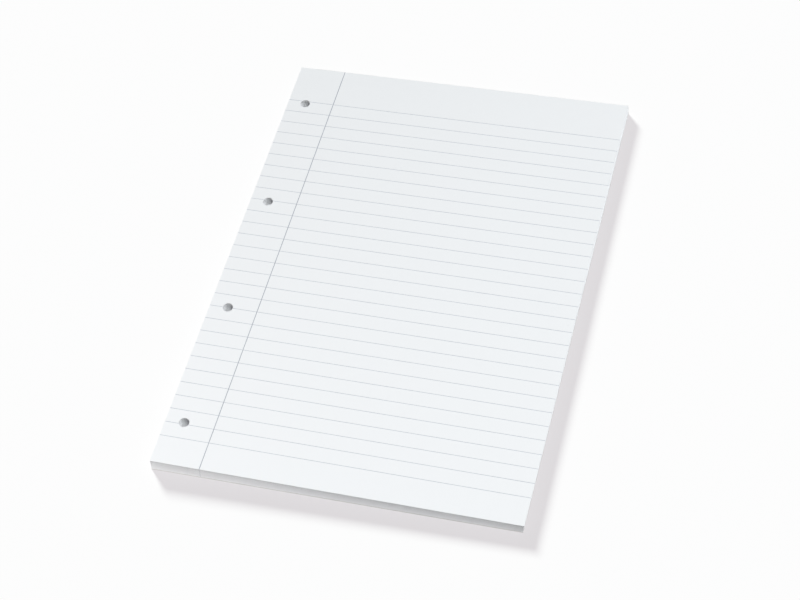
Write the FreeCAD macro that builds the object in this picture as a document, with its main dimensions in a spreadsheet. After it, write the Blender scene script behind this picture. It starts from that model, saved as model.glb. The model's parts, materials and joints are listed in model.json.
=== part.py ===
import FreeCAD, Part
import os

import Sketcher

# Ruled A4 writing pad, punched for ring binders along its left edge.
# Millimetres. X runs across the sheet, Y from foot to head, Z up.
# The origin is at the middle of the underside.
# Leaves and card are gummed together at the head. The punched side stands a little
# higher than the other, because the punch lifts the paper round the holes.
# Away from the gum the stack leans: at the foot its lower leaves and its card lie further left.

DRIVING_SIZES = (
    ("sheet_width", 210.0),
    ("sheet_length", 297.0),
    ("leaves_left", 8.6),
    ("leaves_right", 6.6),
    ("board_thickness", 0.6),
    ("gum_thickness", 0.3),
    ("foot_lean", 1.0),
    ("hole_diameter", 6.0),
    ("hole_inset", 11.0),
    ("hole_pitch", 80.0),
    ("hole_end_space", 25.0),
    ("hole_group_drop", 1.2),
    ("rule_pitch", 9.0),
    ("rule_width", 0.3),
    ("head_space", 27.8),
    ("foot_space", 12.0),
    ("margin_inset", 28.9),
    ("margin_width", 0.5),
    ("ink_film", 0.02),
    ("ink_clearance", 0.1),
)

# Worked out from the driving sizes, each as an expression.
HOLE_COUNT = "(floor((Sizes.sheet_length - 2 * Sizes.hole_end_space) / Sizes.hole_pitch) + 1)"
FIRST_HOLE = f"(Sizes.sheet_length - ({HOLE_COUNT} - 1) * Sizes.hole_pitch) / 2 - Sizes.hole_group_drop"
RULED_LENGTH = "(Sizes.sheet_length - Sizes.head_space - Sizes.foot_space)"
RULE_COUNT = f"(floor({RULED_LENGTH} / Sizes.rule_pitch) + 1)"
TOP_RULE = "(Sizes.sheet_length - Sizes.head_space)"
TOP_SLOPE = "((Sizes.leaves_right - Sizes.leaves_left) / Sizes.sheet_width)"
MARGIN_LEFT = "(Sizes.margin_inset - Sizes.margin_width / 2)"
MARGIN_RIGHT = "(Sizes.margin_inset + Sizes.margin_width / 2)"

# The foot corners of the card and of the lowest leaf.
LEANT_LEFT = "-Sizes.foot_lean"
LEANT_RIGHT = "(Sizes.sheet_width - Sizes.foot_lean)"

# Places of the pieces, all from the foot left corner of the top leaf.
LEFT_EDGE = "-(Sizes.sheet_width - Sizes.foot_lean) / 2"
FOOT_EDGE = "-(Sizes.sheet_length + Sizes.gum_thickness) / 2"
HEAD_EDGE = "(Sizes.sheet_length - Sizes.gum_thickness) / 2"
LEAVES_SEAT = "Sizes.board_thickness"

# Names for the fixed geometry of a sketch, and for the points of a line or circle.
ORIGIN = (-1, 1)
AXES = {"across": -1, "up": -2}
POINTS = {"start": 1, "end": 2, "centre": 3}


def write_sizes(doc):
    sheet = doc.addObject("Spreadsheet::Sheet", "Sizes")
    for row, (name, value) in enumerate(DRIVING_SIZES, start=1):
        sheet.set(f"A{row}", name)
        sheet.set(f"B{row}", str(value))
        sheet.setAlias(f"B{row}", name)
    doc.recompute()
    return sheet


def new_body(doc, name, across=LEFT_EDGE, along=FOOT_EDGE, up="0"):
    body = doc.addObject("PartDesign::Body", name)
    body.Label = name
    body.AllowCompound = True
    body.setExpression("Placement.Base.x", across)
    body.setExpression("Placement.Base.y", along)
    body.setExpression("Placement.Base.z", up)
    return body


def origin_feature(body, role):
    return next(item for item in body.Origin.OriginFeatures if item.Role == role)


def new_sketch(body, name, role):
    sketch = body.newObject("Sketcher::SketchObject", name)
    sketch.AttachmentSupport = [(origin_feature(body, role), "")]
    sketch.MapMode = "FlatFace"
    body.Document.recompute()
    return sketch


def drive(sketch, name, constraint, expression):
    index = sketch.addConstraint(constraint)
    sketch.renameConstraint(index, name)
    sketch.setExpression(f"Constraints.{name}", expression)


def place_point(sketch, name, geometry, vertex, across, up):
    point = sketch.getPoint(geometry, vertex)
    if across == "0":
        sketch.addConstraint(Sketcher.Constraint("PointOnObject", geometry, vertex, AXES["up"]))
    else:
        distance = Sketcher.Constraint("DistanceX", *ORIGIN, geometry, vertex, point.x)
        drive(sketch, f"{name}_across", distance, across)
    if up == "0":
        sketch.addConstraint(Sketcher.Constraint("PointOnObject", geometry, vertex, AXES["across"]))
    else:
        distance = Sketcher.Constraint("DistanceY", *ORIGIN, geometry, vertex, point.y)
        drive(sketch, f"{name}_up", distance, up)


def draw_outline(sketch, corners):
    points = []
    for name, across, up in corners:
        x = float(sketch.evalExpression(across))
        y = float(sketch.evalExpression(up))
        points.append(FreeCAD.Vector(x, y, 0))
    count = len(corners)
    for index in range(count):
        sketch.addGeometry(Part.LineSegment(points[index], points[(index + 1) % count]), False)
    for index in range(count):
        joint = (index, POINTS["end"], (index + 1) % count, POINTS["start"])
        sketch.addConstraint(Sketcher.Constraint("Coincident", *joint))
    for index, (name, across, up) in enumerate(corners):
        place_point(sketch, name, index, POINTS["start"], across, up)


def draw_circle(sketch, name, diameter, across, up):
    x = float(sketch.evalExpression(across))
    y = float(sketch.evalExpression(up))
    radius = float(sketch.evalExpression(diameter)) / 2
    circle = Part.Circle(FreeCAD.Vector(x, y, 0), FreeCAD.Vector(0, 0, 1), radius)
    index = sketch.addGeometry(circle, False)
    place_point(sketch, name, index, POINTS["centre"], across, up)
    drive(sketch, f"{name}_diameter", Sketcher.Constraint("Diameter", index, 2 * radius), diameter)


def extrude(body, name, sketch, length):
    """Raises a sketch: one in the XZ plane runs towards the head, one in the XY plane upwards."""
    pad = body.newObject("PartDesign::Pad", name)
    pad.Profile = sketch
    pad.Reversed = sketch.AttachmentSupport[0][0].Role == "XZ_Plane"
    pad.setExpression("Length", length)
    body.Document.recompute()
    return pad


def loft_between(body, name, near, far):
    """Joins an end outline to a like one further along."""
    loft = body.newObject("PartDesign::AdditiveLoft", name)
    loft.Profile = near
    loft.Sections = [far]
    loft.Ruled = True
    body.Document.recompute()
    return loft


def cut_through(body, name, sketch):
    """Cuts a sketch of the XY plane through all that stands above it."""
    before = body.Shape.Volume
    pocket = body.newObject("PartDesign::Pocket", name)
    pocket.Profile = sketch
    pocket.Type = "ThroughAll"
    pocket.Reversed = True
    body.Document.recompute()
    if pocket.Shape.Volume >= before:
        raise RuntimeError(f"{name} cuts nothing from {body.Label}")
    return pocket


def repeat_along(body, name, feature, sketch, axis, spacing, count):
    pattern = body.newObject("PartDesign::LinearPattern", name)
    pattern.Originals = [feature]
    pattern.Direction = (sketch, [axis])
    pattern.Mode = "Spacing"
    pattern.setExpression("Offset", spacing)
    pattern.setExpression("Occurrences", count)
    body.Tip = pattern
    body.Document.recompute()
    return pattern


def punch_holes(body, diameter="Sizes.hole_diameter"):
    """Punches the ring holes, up from the hole nearest the foot."""
    sketch = new_sketch(body, f"{body.Label}_hole", "XY_Plane")
    draw_circle(sketch, "hole", diameter, "Sizes.hole_inset", FIRST_HOLE)
    body.Document.recompute()
    hole = cut_through(body, f"{body.Label}_first_hole", sketch)
    repeat_along(body, f"{body.Label}_holes", hole, sketch, "V_Axis", "Sizes.hole_pitch", HOLE_COUNT)


def height_at(across, above=""):
    """The height of the top leaf at a distance from the left edge, over the leaves' seat."""
    return f"Sizes.leaves_left + {TOP_SLOPE} * {across}{above}"


def make_page_block(doc):
    """All the leaves, square at the gummed head and leaning at the foot."""
    body = new_body(doc, "page_block", up=LEAVES_SEAT)
    foot = new_sketch(body, "leaves_foot", "XZ_Plane")
    head = new_sketch(body, "leaves_head", "XZ_Plane")
    head.setExpression("AttachmentOffset.Base.z", "-Sizes.sheet_length")
    for end, lower_left, lower_right in ((foot, LEANT_LEFT, LEANT_RIGHT), (head, "0", "Sizes.sheet_width")):
        corners = (
            ("lower_left", lower_left, "0"),
            ("lower_right", lower_right, "0"),
            ("top_right", "Sizes.sheet_width", "Sizes.leaves_right"),
            ("top_left", "0", "Sizes.leaves_left"),
        )
        draw_outline(end, corners)
    body.Document.recompute()
    loft_between(body, "leaves", foot, head)
    punch_holes(body)
    return body


def make_backing_board(doc):
    body = new_body(doc, "backing_board")
    outline = new_sketch(body, "board_outline", "XY_Plane")
    corners = (
        ("near_left", LEANT_LEFT, "0"),
        ("near_right", LEANT_RIGHT, "0"),
        ("far_right", "Sizes.sheet_width", "Sizes.sheet_length"),
        ("far_left", "0", "Sizes.sheet_length"),
    )
    draw_outline(outline, corners)
    extrude(body, "board", outline, "Sizes.board_thickness")
    punch_holes(body)
    return body


def make_binding_gum(doc):
    """The gum covers the whole head end, leaves and board."""
    body = new_body(doc, "binding_gum", along=HEAD_EDGE)
    profile = new_sketch(body, "gum_end", "XZ_Plane")
    corners = (
        ("foot_left", "0", "0"),
        ("foot_right", "Sizes.sheet_width", "0"),
        ("top_right", "Sizes.sheet_width", "Sizes.board_thickness + Sizes.leaves_right"),
        ("top_left", "0", "Sizes.board_thickness + Sizes.leaves_left"),
    )
    draw_outline(profile, corners)
    extrude(body, "gum", profile, "Sizes.gum_thickness")
    return body


def make_margin_line(doc):
    """One line of ink from foot to head, on the slope of the top leaf."""
    body = new_body(doc, "margin_line", up=LEAVES_SEAT)
    profile = new_sketch(body, "margin_end", "XZ_Plane")
    ink = " + Sizes.ink_film"
    corners = (
        ("lower_left", MARGIN_LEFT, height_at(MARGIN_LEFT)),
        ("lower_right", MARGIN_RIGHT, height_at(MARGIN_RIGHT)),
        ("upper_right", MARGIN_RIGHT, height_at(MARGIN_RIGHT, ink)),
        ("upper_left", MARGIN_LEFT, height_at(MARGIN_LEFT, ink)),
    )
    draw_outline(profile, corners)
    extrude(body, "margin", profile, "Sizes.sheet_length")
    return body


def make_ruled_lines(doc):
    """Rules from edge to edge, spaced down from the head.

    They are open at the margin line, and at the holes, where the ink stops a little short of the punched edge.
    """
    body = new_body(doc, "ruled_lines", up=LEAVES_SEAT)
    profile = new_sketch(body, "rule_end", "XZ_Plane")
    corners = (
        ("lower_left", "0", "Sizes.leaves_left"),
        ("lower_right", "Sizes.sheet_width", "Sizes.leaves_right"),
        ("upper_right", "Sizes.sheet_width", "Sizes.leaves_right + Sizes.ink_film"),
        ("upper_left", "0", "Sizes.leaves_left + Sizes.ink_film"),
    )
    draw_outline(profile, corners)
    profile.setExpression("AttachmentOffset.Base.z", f"-{TOP_RULE}")
    rule = extrude(body, "top_rule", profile, "Sizes.rule_width")
    rule.SideType = "Symmetric"
    repeat_along(body, "rules", rule, profile, "N_Axis", "Sizes.rule_pitch", RULE_COUNT)
    punch_holes(body, "Sizes.hole_diameter + 2 * Sizes.ink_clearance")
    gap = new_sketch(body, "margin_gap", "XY_Plane")
    corners = (
        ("near_left", MARGIN_LEFT, "0"),
        ("near_right", MARGIN_RIGHT, "0"),
        ("far_right", MARGIN_RIGHT, "Sizes.sheet_length"),
        ("far_left", MARGIN_LEFT, "Sizes.sheet_length"),
    )
    draw_outline(gap, corners)
    body.Document.recompute()
    cut_through(body, "margin_crossing", gap)
    return body


def check_document(doc):
    for item in doc.Objects:
        if {"Invalid", "Error"} & set(item.State):
            raise RuntimeError(f"{item.Label} failed: {item.State}")


def write_step(body):
    shape = body.Shape
    if shape.isNull() or not shape.isValid():
        raise RuntimeError(f"{body.Label} has no valid shape")
    shape.exportStep(os.path.join("parts", f"{body.Label}.step"))
    box = shape.BoundBox
    print(
        f"{body.Label}: {len(shape.Solids)} solids, {shape.Volume:.2f} mm3, "
        f"x {box.XMin:.3f} to {box.XMax:.3f}, y {box.YMin:.3f} to {box.YMax:.3f}, "
        f"z {box.ZMin:.3f} to {box.ZMax:.3f}"
    )


def main():
    doc = FreeCAD.newDocument("legal_pad")
    write_sizes(doc)
    bodies = (
        make_page_block(doc),
        make_backing_board(doc),
        make_binding_gum(doc),
        make_ruled_lines(doc),
        make_margin_line(doc),
    )
    doc.recompute()
    check_document(doc)
    os.makedirs("parts", exist_ok=True)
    for body in bodies:
        write_step(body)


main()
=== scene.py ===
import json
import math
import random

import bpy
from mathutils import Matrix, Vector
from mathutils.geometry import tessellate_polygon


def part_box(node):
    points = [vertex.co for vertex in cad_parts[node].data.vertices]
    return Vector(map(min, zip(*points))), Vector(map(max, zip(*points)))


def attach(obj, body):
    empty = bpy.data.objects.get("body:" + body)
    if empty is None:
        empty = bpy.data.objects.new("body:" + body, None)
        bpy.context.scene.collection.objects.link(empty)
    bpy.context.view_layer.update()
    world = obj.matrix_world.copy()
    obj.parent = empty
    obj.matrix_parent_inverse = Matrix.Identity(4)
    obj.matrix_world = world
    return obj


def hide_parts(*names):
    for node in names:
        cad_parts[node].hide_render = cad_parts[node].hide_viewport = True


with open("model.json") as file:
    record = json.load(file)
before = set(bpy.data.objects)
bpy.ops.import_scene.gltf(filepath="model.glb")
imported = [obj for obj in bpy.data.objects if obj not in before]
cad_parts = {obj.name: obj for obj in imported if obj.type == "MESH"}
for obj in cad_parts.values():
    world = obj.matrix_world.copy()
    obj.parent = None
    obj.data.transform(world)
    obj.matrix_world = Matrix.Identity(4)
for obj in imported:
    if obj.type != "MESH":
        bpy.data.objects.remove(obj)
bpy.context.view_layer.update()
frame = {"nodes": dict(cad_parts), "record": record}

# A ruled A4 writing pad that lies flat. Metres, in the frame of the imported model:
# X runs across the sheet from the punched edge, Y from foot to head, Z up.
MM = 0.001

# The pad as it was packed.
LEAVES_LOW, LEAVES_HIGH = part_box("page_block")
GUM_LOW, GUM_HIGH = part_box("binding_gum")
RULES_LOW, RULES_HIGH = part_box("ruled_lines")
MARGIN_LOW, MARGIN_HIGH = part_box("margin_line")
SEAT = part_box("backing_board")[1].z
HOLES = [mount for mount in frame["record"]["mounts"] if mount["kind"] == "bore"]
HOLE_RADIUS = HOLES[0]["dims"]["r_mm"] * MM
HOLE_CENTRES = [Vector(mount["pos_m"][:2]) for mount in HOLES]
HOLE_X = HOLE_CENTRES[0].x
SHEET_LEFT = RULES_LOW.x
SHEET_WIDTH = RULES_HIGH.x - RULES_LOW.x
SHEET_LENGTH = LEAVES_HIGH.y - LEAVES_LOW.y
FOOT_LEAN = SHEET_LEFT - LEAVES_LOW.x
TOP_AT_LEFT = LEAVES_HIGH.z
TOP_AT_RIGHT = RULES_LOW.z
MARGIN_X = (MARGIN_LOW.x + MARGIN_HIGH.x) / 2
HALF_MARGIN = (MARGIN_HIGH.x - MARGIN_LOW.x) / 2
RULE_WIDTH = 0.3 * MM
RULE_COUNT = 29
RULE_PITCH = (RULES_HIGH.y - RULES_LOW.y - RULE_WIDTH) / (RULE_COUNT - 1)

# The stack of leaves. A leaf fills a part of its share of the height, and the rest is air.
LEAF_COUNT = 80
LEAF_FILL = 0.86
LEAF_CREASE = math.radians(35)
# Points round a hole, along the foot or head of a leaf, and along a side.
HOLE_STEPS = 32
END_STEPS = 14
SIDE_STEPS = 18
# How far leaves lie out of line, one by one and in batches, and the room that this needs.
LEAF_SHIFT = 0.035 * MM
BATCH_SHIFT = 0.05 * MM
BATCH_LEAVES = 11
EDGE_ROOM = 0.1 * MM
# How far the cut wanders, and the turn of its wave in radians from one end of an edge to the other.
CUT_WANDER = 0.012 * MM
FOOT_WAVE = 7.0
FREE_SIDE_WAVE = 9.0
PUNCHED_SIDE_WAVE = 8.0

# The film of gum on the head edge. Waves along it, in radians from end to end, make it thick and thin.
GUM_STEPS_ACROSS = 140
GUM_STEPS_UP = 10
GUM_THINNEST = 0.12 * MM
GUM_WAVE_COUNT = 9
GUM_WAVE_TURNS = (8, 84)
GUM_WAVE_SIZES = (0.4, 1)
GUM_WAVE_SLANT = 2.1
GUM_WAVE_LEVELLING = 2.5
GUM_ROUNDING = 0.25
GUM_CREASE = math.radians(50)
# How far the film's lower and upper edges wander, and how far the upper one's waves are turned on.
GUM_LOWER_WANDER = 0.25 * MM
GUM_UPPER_WANDER = 0.05 * MM
GUM_UPPER_TURN = 5

# Colours, in linear light.
PAPER = (0.872, 0.886, 0.902, 1.0)
RULE_INK = (0.49, 0.52, 0.575, 1.0)
MARGIN_INK = (0.405, 0.43, 0.48, 1.0)
CARD = (0.69, 0.685, 0.67, 1.0)
CARD_DARK_FIBRE = (0.24, 0.21, 0.18, 1.0)
CARD_PALE_FIBRE = (0.8, 0.79, 0.76, 1.0)
GUM = (0.84, 0.84, 0.82, 1.0)
GUM_THIN = (0.76, 0.765, 0.75, 1.0)

# Specular levels.
PAPER_SHINE = 0.15
CARD_SHINE = 0.2
GUM_SHINE = 0.5

# The lengths of what shows in each finish, and the depths of its tooth.
PAPER_FIBRE = 0.7 * MM
PAPER_TOOTH = 0.03 * MM
LEAF_STREAK = 0.35 * MM
PRINT_GRAIN = 0.25 * MM
PRINT_PATCH = 9 * MM
EDGE_PRINT_GRAIN = 0.4 * MM
EDGE_PRINT_WANDER = 0.3 * MM
CARD_FIBRE = 1.6 * MM
CARD_SPECK = 2.2 * MM
CARD_PLY = 0.15 * MM
CARD_TOOTH = 0.06 * MM
GUM_STROKE = 0.8 * MM
GUM_POOL = 6 * MM
GUM_LEAF_LINE = 0.3 * MM
GUM_TOOTH = 0.15 * MM

# The paper's faint flecks: millimetres across and up from the foot left corner, radius and strength.
FLECKS = (
    (96.3, 280.0, 0.9, 0.03),
    (71.0, 263.0, 0.8, 0.03),
    (206.8, 129.8, 0.9, 0.035),
    (92.3, 28.0, 0.8, 0.03),
    (76.0, 67.3, 0.7, 0.025),
    (86.5, 89.5, 0.7, 0.025),
)

# How much ink a printed line lacks where the paper's hollows kept it off.
INK_THINNING = 0.2

# How strongly print shows where it runs off the cut edges.
MARGIN_AT_EDGE = 0.3
RULES_AT_EDGE = 0.25

# The cut edges darken by a tone of each leaf's own and by streaks.
LEAF_DARKENING = 0.05
STREAK_DARKENING = 0.08
# The foot edges carry painted shade, darker towards the top of the stack and towards their ends, and painted
# light, paler at the lowest leaves.
FOOT_DEPTH = 1 * MM
FOOT_PAINTED_SHADE = 0.42
FOOT_PAINTED_LIGHT = -0.215
FOOT_LEAST_SHADED = 0.4
FOOT_END_PAINTED_SHADE = 0.3
# The hole walls carry painted shade, darkest at their rims, and painted light, paler towards the lowest
# leaves.
HOLE_PAINTED_SHADE = 0.32
HOLE_PAINTED_LIGHT = -0.1

# The ground lies just under the pad. Seen directly it glows with the tone of the pad's shadow, and its
# lamp brings the rest of it up to white. To all other rays it returns an even light.
FLOOR_SIZE = 12.0
FLOOR_DROP = 0.05 * MM
FLOOR_LIT = (0.18, 0.18, 0.18, 1.0)
FLOOR_SEEN = (0.2, 0.2, 0.2, 1.0)
FLOOR_GLOW = 0.682
FLOOR_GLOW_COLOUR = (1.0, 0.968, 0.99, 1.0)
FLOOR_RETURN = 0.36
FLOOR_RETURN_COLOUR = (0.98, 0.95, 1.0, 1.0)

# The surroundings: the light that they give, and the white that they show.
AMBIENT = 0.17
AMBIENT_COLOUR = (0.96, 0.985, 1.0, 1.0)
SURROUND_WHITE = (0.982, 0.982, 0.982, 1.0)

# The ground's lamp: where it stands as seen from the pad, its spread and its strength.
GROUND_LAMP_WAY = Vector((-10.4, 12.0, 8.2))
GROUND_LAMP_SPREAD = math.radians(14)
GROUND_LAMP_STRENGTH = 3.12 * math.pi
GROUND_LAMP_COLOUR = (0.925, 1.0, 0.948)

# The camera, found from the sheet's corners, its rules and its holes in the photograph.
CAMERA_PLACE = Vector((257.262, -596.027, 847.236)) * MM
CAMERA_AIM = Vector((4.192, -18.517, 8.165)) * MM
CAMERA_ROLL = math.radians(-11.217)
CAMERA_LENS = 82.353
SENSOR_WIDTH = 36.0


def share_across(x):
    """0 at the punched edge of the top leaf, 1 at its free edge."""
    return (x - SHEET_LEFT) / SHEET_WIDTH


def top_at(x):
    """The height of the top leaf, which falls from the punched edge to the free one."""
    return TOP_AT_LEFT + (TOP_AT_RIGHT - TOP_AT_LEFT) * share_across(x)


def new_piece(name, points, faces, slot_name, *replaced):
    mesh = bpy.data.meshes.new(name)
    mesh.from_pydata(points, [], faces)
    mesh.validate()
    piece = bpy.data.objects.new(name, mesh)
    bpy.context.scene.collection.objects.link(piece)
    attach(piece, "root")
    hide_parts(*replaced)
    return piece


def smooth(piece, crease):
    """Smooth shading that breaks where the surface turns by more than the crease."""
    piece.data.shade_smooth()
    piece.data.set_sharp_from_angle(angle=crease)


def dress(piece, material):
    piece.data.materials.clear()
    piece.data.materials.append(material)


# Leaves

def leaf_outline(shift, wander, up, room):
    """The four edges of one leaf, counterclockwise from the foot left corner.

    Lower leaves lean further left towards the foot, where no gum holds them.
    """
    left = SHEET_LEFT + room
    right = SHEET_LEFT + SHEET_WIDTH - room
    foot = LEAVES_LOW.y + room
    head = LEAVES_HIGH.y - room
    points = []
    for step in range(END_STEPS):
        across = step / END_STEPS
        drawn_back = CUT_WANDER * (1 + math.sin(FOOT_WAVE * across + wander))
        points.append((left + (right - left) * across, foot + drawn_back))
    for step in range(SIDE_STEPS):
        along = step / SIDE_STEPS
        drawn_in = CUT_WANDER * (1 + math.sin(FREE_SIDE_WAVE * along + wander))
        points.append((right - drawn_in, foot + (head - foot) * along))
    for step in range(END_STEPS):
        across = 1 - step / END_STEPS
        points.append((left + (right - left) * across, head))
    for step in range(SIDE_STEPS):
        along = 1 - step / SIDE_STEPS
        drawn_in = CUT_WANDER * (1 + math.cos(PUNCHED_SIDE_WAVE * along + wander))
        points.append((left + drawn_in, foot + (head - foot) * along))
    leant = []
    for x, y in points:
        lean = FOOT_LEAN * (1 - up) * (LEAVES_HIGH.y - y) / SHEET_LENGTH
        leant.append(Vector((x - lean + shift.x, y + shift.y)))
    return leant


def hole_rim(centre, shift):
    """One punched edge, clockwise."""
    rim = []
    for step in range(HOLE_STEPS):
        turn = -2 * math.pi * step / HOLE_STEPS
        rim.append(centre + shift + HOLE_RADIUS * Vector((math.cos(turn), math.sin(turn))))
    return rim


def leaf_loops(shift, wander, up, room):
    """A leaf's outline and the rims of its holes."""
    return [leaf_outline(shift, wander, up, room)] + [hole_rim(centre, shift) for centre in HOLE_CENTRES]


def leaf_shifts(dice):
    """Each leaf lies a little out of line, in batches that were jogged together."""
    shifts = []
    batch = Vector((0, 0))
    for index in range(LEAF_COUNT):
        if index % BATCH_LEAVES == 0:
            batch = Vector((dice.uniform(-1, 1), 0)) * BATCH_SHIFT
        shifts.append(batch + Vector((dice.uniform(-1, 1), 0)) * LEAF_SHIFT)
    shifts[-1] = Vector((0, 0))
    return shifts


def cut_walls(base, ring, loop_sizes):
    """The cut edges of one leaf: from each loop of points to the same loop a ring of points later."""
    walls = []
    start = base
    for size in loop_sizes:
        for step in range(size):
            here = start + step
            there = start + (step + 1) % size
            walls.append((here, there, there + ring, here + ring))
        start += size
    return walls


def make_leaves():
    """About eighty loose leaves, each a thin closed sheet, open at the four ring holes."""
    dice = random.Random(4)
    shifts = leaf_shifts(dice)
    layout = leaf_loops(Vector((0, 0)), 0.0, 1.0, 0.0)
    triangles = tessellate_polygon([[point.to_3d() for point in loop] for loop in layout])
    loop_sizes = [len(loop) for loop in layout]
    ring = sum(loop_sizes)
    points = []
    faces = []
    tones = []
    for index, shift in enumerate(shifts):
        top_leaf = index == LEAF_COUNT - 1
        up = (index + 1) / LEAF_COUNT
        wander = dice.uniform(0, 2 * math.pi)
        loops = leaf_loops(shift, wander, up, 0.0 if top_leaf else EDGE_ROOM)
        flat = [point for loop in loops for point in loop]
        tone = dice.uniform(0, 1)
        base = len(points)
        for share in (index, index + (1 if top_leaf else LEAF_FILL)):
            for point in flat:
                rise = (top_at(point.x) - SEAT) * share / LEAF_COUNT
                points.append((point.x, point.y, SEAT + rise))
        for a, b, c in triangles:
            faces.append((base + ring + a, base + ring + b, base + ring + c))
            faces.append((base + c, base + b, base + a))
        faces.extend(cut_walls(base, ring, loop_sizes))
        tones.extend([tone] * (len(faces) - len(tones)))
    leaves = new_piece("leaves", points, faces, "white_paper", "page_block")
    attribute = leaves.data.attributes.new("leaf_tone", "FLOAT", "FACE")
    attribute.data.foreach_set("value", tones)
    smooth(leaves, LEAF_CREASE)
    return leaves


# Gum

def ripple(waves, across, up):
    """How thick the brush left the gum at a place on the head edge: 0 thinnest, 1 thickest."""
    total = sum(size * math.sin(turns * across + start + GUM_WAVE_SLANT * up) for turns, start, size in waves)
    return 0.5 + 0.5 * math.tanh(total / GUM_WAVE_LEVELLING)


def gum_point(waves, across, up):
    """A point of the film's outer side. Its edges are rounded down to the thinnest."""
    x = GUM_LOW.x + (GUM_HIGH.x - GUM_LOW.x) * across
    lowest = GUM_LOW.z + GUM_LOWER_WANDER * ripple(waves, across, 0)
    highest = top_at(x) - GUM_UPPER_WANDER * ripple(waves, across, GUM_UPPER_TURN)
    rounding = math.sin(math.pi * up) ** GUM_ROUNDING if 0 < up < 1 else 0.0
    spread = GUM_HIGH.y - GUM_LOW.y - GUM_THINNEST
    thickness = GUM_THINNEST + spread * ripple(waves, across, up) * rounding
    return (x, GUM_LOW.y + thickness, lowest + (highest - lowest) * up)


def grid_border(columns, rows):
    """The numbers of a grid's outer points, in order round it."""
    border = list(range(columns))
    border += [row * columns + columns - 1 for row in range(1, rows)]
    border += [(rows - 1) * columns + column for column in range(columns - 2, -1, -1)]
    border += [row * columns for row in range(rows - 2, 0, -1)]
    return border


def make_gum():
    """Padding gum brushed over the head edge: a thin closed film, thicker in runs, with wavy edges."""
    dice = random.Random(11)
    waves = []
    for _ in range(GUM_WAVE_COUNT):
        turns = dice.uniform(*GUM_WAVE_TURNS)
        start = dice.uniform(0, 2 * math.pi)
        size = dice.uniform(*GUM_WAVE_SIZES)
        waves.append((turns, start, size))
    columns = GUM_STEPS_ACROSS + 1
    rows = GUM_STEPS_UP + 1
    points = []
    for row in range(rows):
        for column in range(columns):
            points.append(gum_point(waves, column / GUM_STEPS_ACROSS, row / GUM_STEPS_UP))
    shell = len(points)
    points.extend([(x, GUM_LOW.y, z) for x, y, z in points])
    faces = []
    for row in range(GUM_STEPS_UP):
        for column in range(GUM_STEPS_ACROSS):
            a = row * columns + column
            b = a + 1
            c = b + columns
            d = a + columns
            faces.append((d, c, b, a))
            faces.append((a + shell, b + shell, c + shell, d + shell))
    border = grid_border(columns, rows)
    for here, there in zip(border, border[1:] + border[:1]):
        faces.append((here, there, there + shell, here + shell))
    gum = new_piece("gum_film", points, faces, "clear_gum", "binding_gum")
    smooth(gum, GUM_CREASE)
    return gum


# Nodes of the finishes

def node(tree, kind, inputs=None, **settings):
    """Adds a node with its settings, and gives each named or numbered input a value or a wire."""
    made = tree.nodes.new(kind)
    for name, value in settings.items():
        setattr(made, name, value)
    for name, value in (inputs or {}).items():
        if isinstance(value, bpy.types.NodeSocket):
            tree.links.new(value, made.inputs[name])
        else:
            made.inputs[name].default_value = value
    return made


def maths(tree, operation, first, second=0.0, third=0.0):
    made = node(tree, "ShaderNodeMath", {0: first, 1: second, 2: third}, operation=operation)
    return made.outputs[0]


def plus(tree, first, second):
    return maths(tree, "ADD", first, second)


def minus(tree, first, second):
    return maths(tree, "SUBTRACT", first, second)


def times(tree, first, second):
    return maths(tree, "MULTIPLY", first, second)


def over(tree, first, second):
    return maths(tree, "DIVIDE", first, second)


def rising(tree, value, slope, start):
    """A straight line over the value, from start at 0."""
    return maths(tree, "MULTIPLY_ADD", value, slope, start)


def between(tree, value, low, high, out_low=0.0, out_high=1.0):
    """Maps a value smoothly from one span to another."""
    inputs = {"Value": value, "From Min": low, "From Max": high, "To Min": out_low, "To Max": out_high}
    made = node(tree, "ShaderNodeMapRange", inputs, interpolation_type="SMOOTHSTEP")
    return made.outputs["Result"]


def mixed(tree, factor, first, second, blend="MIX"):
    """Two colours mixed. Sockets 6 and 7 take the colours, and output 2 gives their mix."""
    inputs = {"Factor": factor, 6: first, 7: second}
    made = node(tree, "ShaderNodeMix", inputs, data_type="RGBA", blend_type=blend)
    return made.outputs[2]


def grey(tree, value):
    made = node(tree, "ShaderNodeCombineColor", {"Red": value, "Green": value, "Blue": value})
    return made.outputs["Color"]


def toned(tree, colour, tone):
    """A colour made darker or paler by a tone near 1."""
    return mixed(tree, 1.0, colour, grey(tree, tone), "MULTIPLY")


def object_place(tree):
    return node(tree, "ShaderNodeTexCoord").outputs["Object"]


def along_axes(tree, vector):
    """The vector's X, Y and Z."""
    return node(tree, "ShaderNodeSeparateXYZ", {"Vector": vector}).outputs


def drawn_out(tree, vector, shares):
    """A place scaled along each axis, so that a pattern is drawn out where the share is small."""
    return node(tree, "ShaderNodeVectorMath", {0: vector, 1: shares}, operation="MULTIPLY").outputs["Vector"]


def noise(tree, vector, scale, detail=3.0, roughness=0.5):
    inputs = {"Vector": vector, "Scale": scale, "Detail": detail, "Roughness": roughness}
    return node(tree, "ShaderNodeTexNoise", inputs).outputs["Fac"]


def bumped(tree, height, strength, distance):
    inputs = {"Strength": strength, "Distance": distance, "Height": height}
    return node(tree, "ShaderNodeBump", inputs).outputs["Normal"]


def place_group(tree, group, inputs):
    return node(tree, "ShaderNodeGroup", inputs, node_tree=group).outputs


# Effects that several finishes use

def new_group(name, inputs, outputs):
    """An empty node group with named sockets: (tree, its inputs, its output node)."""
    tree = bpy.data.node_groups.new(name, "ShaderNodeTree")
    for label, kind, value in inputs:
        socket = tree.interface.new_socket(label, in_out="INPUT", socket_type=kind)
        socket.default_value = value
    for label, kind in outputs:
        tree.interface.new_socket(label, in_out="OUTPUT", socket_type=kind)
    return tree, tree.nodes.new("NodeGroupInput").outputs, tree.nodes.new("NodeGroupOutput")


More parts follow.
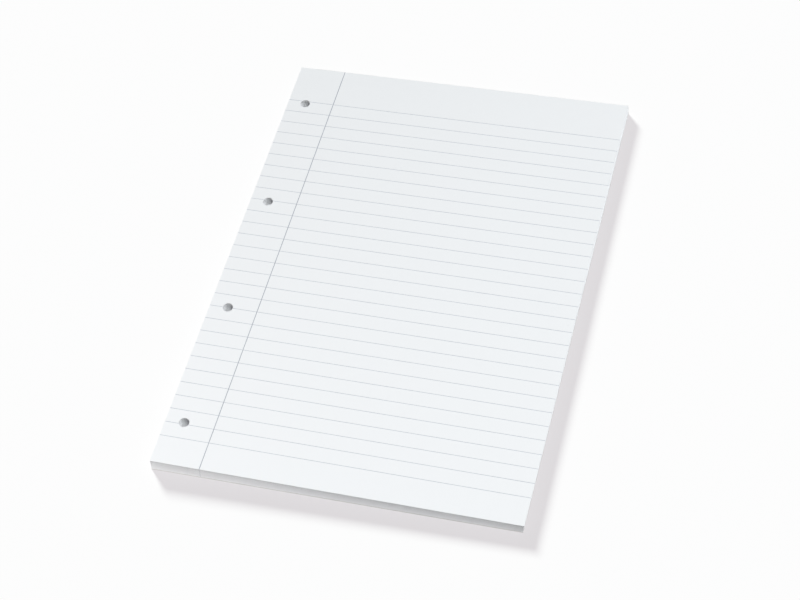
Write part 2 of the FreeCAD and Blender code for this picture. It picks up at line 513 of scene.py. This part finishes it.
def fibre_group():
    """Matted fibres: a tone near 1, a height for bump, and a roughness, at a fibre length in metres."""
    tree, given, result = new_group(
        "matted fibres",
        (
            ("Fibre", "NodeSocketFloat", PAPER_FIBRE),
            ("Mottle", "NodeSocketFloat", 0.01),
            ("Roughness", "NodeSocketFloat", 0.85),
        ),
        (("Tone", "NodeSocketFloat"), ("Height", "NodeSocketFloat"), ("Roughness", "NodeSocketFloat")),
    )
    place = object_place(tree)
    scale = over(tree, 1.0, given["Fibre"])
    warp = node(tree, "ShaderNodeTexNoise", {"Vector": place, "Scale": scale, "Detail": 2.0})
    bend = {0: warp.outputs["Color"], "Scale": times(tree, given["Fibre"], 0.8)}
    drift = node(tree, "ShaderNodeVectorMath", bend, operation="SCALE").outputs["Vector"]
    place = node(tree, "ShaderNodeVectorMath", {0: place, 1: drift}, operation="ADD").outputs["Vector"]
    cloud = noise(tree, place, times(tree, scale, 0.12), 4.0, 0.6)
    fine = noise(tree, place, times(tree, scale, 3.0), 5.0, 0.65)
    fine_swing = minus(tree, fine, 0.5)
    swing = plus(tree, minus(tree, cloud, 0.5), fine_swing)
    tree.links.new(rising(tree, swing, given["Mottle"], 1.0), result.inputs["Tone"])
    tree.links.new(fine, result.inputs["Height"])
    tree.links.new(rising(tree, fine_swing, 0.12, given["Roughness"]), result.inputs["Roughness"])
    return tree


def coverage_group():
    """How well a printed line covers the paper: full on the smooth places, thin in the hollows."""
    tree, given, result = new_group(
        "printed coverage",
        (
            ("Paper", "NodeSocketColor", PAPER),
            ("Ink", "NodeSocketColor", RULE_INK),
            ("Thinning", "NodeSocketFloat", INK_THINNING),
        ),
        (("Color", "NodeSocketColor"),),
    )
    place = object_place(tree)
    grain = noise(tree, place, 1 / PRINT_GRAIN, 3.0, 0.6)
    patch = noise(tree, place, 1 / PRINT_PATCH, 2.0, 0.5)
    hollow = rising(tree, patch, 0.4, times(tree, grain, 0.8))
    thin = times(tree, between(tree, hollow, 0.5, 0.8), given["Thinning"])
    tree.links.new(mixed(tree, thin, given["Ink"], given["Paper"]), result.inputs["Color"])
    return tree


def fleck_group():
    """One faint speck in the paper: a factor that dips below 1 near its centre."""
    tree, given, result = new_group(
        "fleck",
        (
            ("Centre", "NodeSocketVector", (0.0, 0.0, 0.0)),
            ("Radius", "NodeSocketFloat", 1 * MM),
            ("Strength", "NodeSocketFloat", 0.03),
        ),
        (("Factor", "NodeSocketFloat"),),
    )
    ends = {0: object_place(tree), 1: given["Centre"]}
    away = node(tree, "ShaderNodeVectorMath", ends, operation="DISTANCE").outputs["Value"]
    near = between(tree, over(tree, away, given["Radius"]), 1.0, 0.2)
    tree.links.new(minus(tree, 1.0, times(tree, near, given["Strength"])), result.inputs["Factor"])
    return tree


FIBRES = fibre_group()
COVERAGE = coverage_group()
FLECK = fleck_group()


# Finishes

def new_material(name, viewport):
    material = bpy.data.materials.new(name)
    material.use_nodes = True
    material.diffuse_color = viewport
    tree = material.node_tree
    return material, tree, tree.nodes["Principled BSDF"]


def wire_surface(tree, shader, colour, roughness, normal, shine):
    tree.links.new(colour, shader.inputs["Base Color"])
    tree.links.new(roughness, shader.inputs["Roughness"])
    tree.links.new(normal, shader.inputs["Normal"])
    shader.inputs["Specular IOR Level"].default_value = shine


def across_sheet(tree, place):
    """0 at the punched edge of the sheet, 1 at its free edge."""
    return over(tree, minus(tree, place["X"], SHEET_LEFT), SHEET_WIDTH)


def up_stack(tree, place):
    """0 at the lowest leaf, 1 at the top one."""
    depth = rising(tree, across_sheet(tree, place), TOP_AT_RIGHT - TOP_AT_LEFT, TOP_AT_LEFT - SEAT)
    return over(tree, minus(tree, place["Z"], SEAT), depth)


def looks_along(tree, facing, axis):
    """1 where a face looks along the axis, either way."""
    return between(tree, maths(tree, "ABSOLUTE", facing[axis]), 0.5, 0.8)


def margin_marks(tree, spot, place, facing):
    """Where the leaves' margin lines run off at foot and head, further left where the leaves lean."""
    grain = times(tree, minus(tree, noise(tree, spot, 1 / EDGE_PRINT_GRAIN), 0.5), EDGE_PRINT_WANDER)
    from_head = over(tree, minus(tree, LEAVES_HIGH.y, place["Y"]), SHEET_LENGTH)
    from_top = minus(tree, 1.0, up_stack(tree, place))
    lean = times(tree, times(tree, from_top, from_head), FOOT_LEAN)
    upright_x = plus(tree, plus(tree, place["X"], grain), lean)
    off_line = maths(tree, "ABSOLUTE", minus(tree, upright_x, MARGIN_X))
    at_line = between(tree, off_line, 1.6 * HALF_MARGIN, 0.6 * HALF_MARGIN)
    return times(tree, at_line, looks_along(tree, facing, "Y"))


def rule_marks(tree, place, facing):
    """Where the leaves' rules run off at the sides."""
    steps = over(tree, minus(tree, place["Y"], RULES_LOW.y + RULE_WIDTH / 2), RULE_PITCH)
    off_rule = maths(tree, "ABSOLUTE", minus(tree, steps, maths(tree, "ROUND", steps)))
    at_rule = between(tree, off_rule, RULE_WIDTH / RULE_PITCH, 0.3 * RULE_WIDTH / RULE_PITCH)
    below_last = maths(tree, "LESS_THAN", place["Y"], RULES_HIGH.y + RULE_WIDTH)
    above_first = maths(tree, "GREATER_THAN", place["Y"], RULES_LOW.y - RULE_WIDTH)
    at_rule = times(tree, at_rule, times(tree, below_last, above_first))
    return times(tree, at_rule, looks_along(tree, facing, "X"))


def leaf_streaks(tree, spot):
    """Each leaf's own tone, and streaks that run along the cut edges."""
    leaf = node(tree, "ShaderNodeAttribute", attribute_name="leaf_tone").outputs["Fac"]
    streaks = noise(tree, drawn_out(tree, spot, (0.12, 0.12, 1.0)), 1 / LEAF_STREAK, 3.0, 0.6)
    return plus(tree, times(tree, leaf, LEAF_DARKENING), times(tree, streaks, STREAK_DARKENING))


def foot_painted_shade(tree, place, up):
    """Painted shade on the foot edges: most at the top leaf and at both ends, with painted light at the
    lowest leaves.
    """
    off_least_shaded = minus(tree, across_sheet(tree, place), FOOT_LEAST_SHADED)
    at_ends = times(tree, off_least_shaded, off_least_shaded)
    towards_top = rising(tree, up, FOOT_PAINTED_SHADE, FOOT_PAINTED_LIGHT)
    return rising(tree, at_ends, FOOT_END_PAINTED_SHADE, towards_top)


def edge_tone_and_painted_shade(tree, spot, place, facing):
    """How much darker the cut edges are: each leaf's own tone and streaks, and painted shade on the foot
    edges and hole walls. Upright faces near the holes and off the foot are hole walls.
    """
    upright = between(tree, maths(tree, "ABSOLUTE", facing["Z"]), 0.8, 0.5)
    up = up_stack(tree, place)
    at_foot = maths(tree, "LESS_THAN", place["Y"], LEAVES_LOW.y + FOOT_DEPTH)
    # Painted shade on the foot edges: darker at the top leaves and at both ends, paler at the lowest leaves.
    painted_foot_shade = times(tree, foot_painted_shade(tree, place, up), at_foot)
    off_holes = maths(tree, "ABSOLUTE", minus(tree, place["X"], HOLE_X))
    near_holes = maths(tree, "LESS_THAN", off_holes, 1.1 * HOLE_RADIUS)
    in_hole = times(tree, near_holes, minus(tree, 1.0, at_foot))
    # Painted shade on the hole walls near the rims, and painted light deeper down.
    painted_hole_shade = times(tree, in_hole, rising(tree, up, HOLE_PAINTED_SHADE, HOLE_PAINTED_LIGHT))
    tone_and_shade = plus(tree, plus(tree, leaf_streaks(tree, spot), painted_foot_shade), painted_hole_shade)
    return times(tree, tone_and_shade, upright)


def paper_finish():
    """Uncoated writing paper: a soft mottle, a fine tooth, faint flecks, print along the cut edges, and
    painted shade on the foot edges and hole walls.
    """
    material, tree, shader = new_material("uncoated_paper", PAPER)
    spot = object_place(tree)
    place = along_axes(tree, spot)
    facing = along_axes(tree, node(tree, "ShaderNodeNewGeometry").outputs["True Normal"])
    fibres = place_group(tree, FIBRES, {"Fibre": PAPER_FIBRE, "Mottle": 0.012, "Roughness": 0.86})
    tone = fibres["Tone"]
    for across, along, radius, strength in FLECKS:
        x = SHEET_LEFT + across * MM
        centre = (x, LEAVES_LOW.y + along * MM, top_at(x))
        fleck = place_group(tree, FLECK, {"Centre": centre, "Radius": radius * MM, "Strength": strength})
        tone = times(tree, tone, fleck["Factor"])
    # Each leaf's own tone and streaks, and painted shade on the foot edges and hole walls, darken the cut
    # edges.
    tone = times(tree, tone, minus(tree, 1.0, edge_tone_and_painted_shade(tree, spot, place, facing)))
    colour = toned(tree, PAPER, tone)
    margins = times(tree, margin_marks(tree, spot, place, facing), MARGIN_AT_EDGE)
    colour = mixed(tree, margins, colour, MARGIN_INK)
    rules = times(tree, rule_marks(tree, place, facing), RULES_AT_EDGE)
    colour = mixed(tree, rules, colour, RULE_INK)
    normal = bumped(tree, fibres["Height"], 0.35, PAPER_TOOTH)
    wire_surface(tree, shader, colour, fibres["Roughness"], normal, PAPER_SHINE)
    return material


def ink_finish(name, ink):
    """A printed line, thinner where the paper's tooth kept the ink off."""
    material, tree, shader = new_material(name, ink)
    fibres = place_group(tree, FIBRES, {"Fibre": PAPER_FIBRE, "Mottle": 0.05, "Roughness": 0.8})
    cover = place_group(tree, COVERAGE, {"Paper": PAPER, "Ink": ink, "Thinning": INK_THINNING})
    colour = toned(tree, cover["Color"], fibres["Tone"])
    normal = bumped(tree, fibres["Height"], 0.35, PAPER_TOOTH)
    wire_surface(tree, shader, colour, fibres["Roughness"], normal, PAPER_SHINE)
    return material


def card_finish():
    """Pulp board: coarse mixed fibres with darker and paler specks, and plies along its cut edge."""
    material, tree, shader = new_material("pulp_card", CARD)
    spot = object_place(tree)
    fibres = place_group(tree, FIBRES, {"Fibre": CARD_FIBRE, "Mottle": 0.1, "Roughness": 0.9})
    cells = {"Vector": spot, "Scale": 1 / CARD_SPECK, "Randomness": 1.0}
    specks = node(tree, "ShaderNodeTexVoronoi", cells).outputs
    chosen = node(tree, "ShaderNodeSeparateColor", {"Color": specks["Color"]}).outputs
    dark = between(tree, specks["Distance"], 0.16, 0.05)
    dark = times(tree, dark, maths(tree, "GREATER_THAN", chosen["Red"], 0.7))
    pale = between(tree, specks["Distance"], 0.2, 0.08)
    pale = times(tree, pale, maths(tree, "GREATER_THAN", chosen["Green"], 0.75))
    plies = noise(tree, drawn_out(tree, spot, (0.1, 0.1, 1.0)), 1 / CARD_PLY, 2.0)
    tone = times(tree, fibres["Tone"], rising(tree, plies, 0.08, 0.96))
    colour = toned(tree, CARD, tone)
    colour = mixed(tree, times(tree, dark, 0.45), colour, CARD_DARK_FIBRE)
    colour = mixed(tree, times(tree, pale, 0.4), colour, CARD_PALE_FIBRE)
    normal = bumped(tree, fibres["Height"], 0.5, CARD_TOOTH)
    wire_surface(tree, shader, colour, fibres["Roughness"], normal, CARD_SHINE)
    return material


def gum_finish():
    """Dried padding gum: milky and faintly glossy, brushed on unevenly, with leaf edges showing through."""
    material, tree, shader = new_material("padding_gum", GUM)
    spot = object_place(tree)
    strokes = noise(tree, drawn_out(tree, spot, (0.15, 1.0, 1.0)), 1 / GUM_STROKE, 3.0, 0.55)
    pools = noise(tree, spot, 1 / GUM_POOL, 2.0, 0.5)
    leaf_lines = noise(tree, drawn_out(tree, spot, (0.08, 1.0, 1.0)), 1 / GUM_LEAF_LINE, 3.0, 0.6)
    thickness = rising(tree, strokes, 0.5, times(tree, pools, 0.5))
    thin = between(tree, thickness, 0.62, 0.38)
    shown = times(tree, minus(tree, leaf_lines, 0.5), times(tree, thin, 0.7))
    tone = plus(tree, rising(tree, pools, 0.16, 0.92), shown)
    colour = toned(tree, mixed(tree, thin, GUM, GUM_THIN), tone)
    roughness = between(tree, pools, 0.35, 0.65, 0.38, 0.52)
    normal = bumped(tree, strokes, 0.7, GUM_TOOTH)
    wire_surface(tree, shader, colour, roughness, normal, GUM_SHINE)
    return material


# Ground, light and camera

def seen_directly(tree):
    """1 for the rays that show the ground itself, also in a reflection or through glass."""
    light = node(tree, "ShaderNodeLightPath").outputs
    seen = maths(tree, "MAXIMUM", light["Is Camera Ray"], light["Is Glossy Ray"])
    return maths(tree, "MAXIMUM", seen, light["Is Transmission Ray"])


def floor_finish():
    """A plain ground: it shows white with the pad's shadow, and returns a little light to the pad."""
    material, tree, shader = new_material("white_ground", FLOOR_LIT)
    tree.nodes.remove(shader)
    seen = seen_directly(tree)
    ground = node(tree, "ShaderNodeBsdfDiffuse", {"Color": mixed(tree, seen, FLOOR_LIT, FLOOR_SEEN)})
    strength = rising(tree, seen, FLOOR_GLOW - FLOOR_RETURN, FLOOR_RETURN)
    tint = mixed(tree, seen, FLOOR_RETURN_COLOUR, FLOOR_GLOW_COLOUR)
    glow = node(tree, "ShaderNodeEmission", {"Color": tint, "Strength": strength})
    both = node(tree, "ShaderNodeAddShader", {0: ground.outputs[0], 1: glow.outputs[0]})
    tree.links.new(both.outputs[0], tree.nodes["Material Output"].inputs["Surface"])
    return material


def make_floor():
    half = FLOOR_SIZE / 2
    corners = [(-half, -half), (half, -half), (half, half), (-half, half)]
    mesh = bpy.data.meshes.new("ground")
    mesh.from_pydata([(x, y, -FLOOR_DROP) for x, y in corners], [], [(0, 1, 2, 3)])
    floor = bpy.data.objects.new("ground", mesh)
    bpy.context.scene.collection.objects.link(floor)
    dress(floor, floor_finish())
    return floor


def light_world():
    world = bpy.data.worlds.new("studio")
    bpy.context.scene.world = world
    world.use_nodes = True
    tree = world.node_tree
    background = tree.nodes["Background"]
    seen = seen_directly(tree)
    tree.links.new(mixed(tree, seen, AMBIENT_COLOUR, SURROUND_WHITE), background.inputs["Color"])
    tree.links.new(rising(tree, seen, 1 - AMBIENT, AMBIENT), background.inputs["Strength"])


def aimed(place, aim, roll=0.0):
    """A pose at a place that looks at the aim, turned about its own line of sight by the roll."""
    forward = (aim - place).normalized()
    turn = forward.to_track_quat("-Z", "Y").to_matrix().to_4x4()
    return Matrix.Translation(place) @ turn @ Matrix.Rotation(roll, 4, "Z")


def new_lamp(name, kind, place, aim, colour):
    data = bpy.data.lights.new(name, kind)
    data.color = colour
    lamp = bpy.data.objects.new(name, data)
    lamp.matrix_world = aimed(place, aim)
    bpy.context.scene.collection.objects.link(lamp)
    return lamp


def add_panel(name, place, aim, side, level, colour):
    """A square lamp. At level 1 a surface that faces it at the aim renders as its colour is written."""
    lamp = new_lamp(name, "AREA", place, aim, colour)
    lamp.data.shape = "SQUARE"
    lamp.data.size = side
    lamp.data.energy = level * (math.pi * (place - aim).length) ** 2
    return lamp


def link_light(lamp, thing, state):
    """Keeps a lamp to a thing, with state INCLUDE, or off it, with state EXCLUDE."""
    group = bpy.data.collections.new(f"{lamp.name}_link")
    group.objects.link(thing)
    for entry in group.collection_objects:
        entry.light_linking.link_state = state
    lamp.light_linking.receiver_collection = group


def light_pad(floor):
    """Three soft panels light the pad, and a lamp of its own lights the ground."""
    middle = Vector((0.0, 0.0, 0.0))
    foot_left = Vector((-0.1, -0.149, 0.0))
    panels = (
        add_panel("key_panel", Vector((1.451, -0.771, 3.09)), middle,
                  side=0.45, level=0.654, colour=(0.98, 1.0, 0.99)),
        add_panel("back_panel", Vector((2.463, 0.524, 2.431)), middle,
                  side=0.45, level=0.27, colour=(0.965, 0.964, 1.0)),
        add_panel("front_panel", Vector((-0.5, -0.42, 0.125)), foot_left,
                  side=0.3, level=0.78, colour=(1.0, 0.94, 0.91)),
    )
    for panel in panels:
        link_light(panel, floor, "EXCLUDE")
    lamp = new_lamp("ground_lamp", "SUN", GROUND_LAMP_WAY.normalized(), middle, GROUND_LAMP_COLOUR)
    lamp.data.angle = GROUND_LAMP_SPREAD
    lamp.data.energy = GROUND_LAMP_STRENGTH
    link_light(lamp, floor, "INCLUDE")


def place_camera():
    data = bpy.data.cameras.new("camera")
    data.sensor_fit = "HORIZONTAL"
    data.sensor_width = SENSOR_WIDTH
    data.lens = CAMERA_LENS
    camera = bpy.data.objects.new("camera", data)
    camera.matrix_world = aimed(CAMERA_PLACE, CAMERA_AIM, CAMERA_ROLL)
    bpy.context.scene.collection.objects.link(camera)
    bpy.context.scene.camera = camera


dress(make_leaves(), paper_finish())
dress(make_gum(), gum_finish())
dress(frame["nodes"]["backing_board"], card_finish())
dress(frame["nodes"]["ruled_lines"], ink_finish("rule_print", RULE_INK))
dress(frame["nodes"]["margin_line"], ink_finish("margin_print", MARGIN_INK))

light_world()
light_pad(make_floor())
place_camera()
bpy.context.scene.view_settings.view_transform = "Standard"
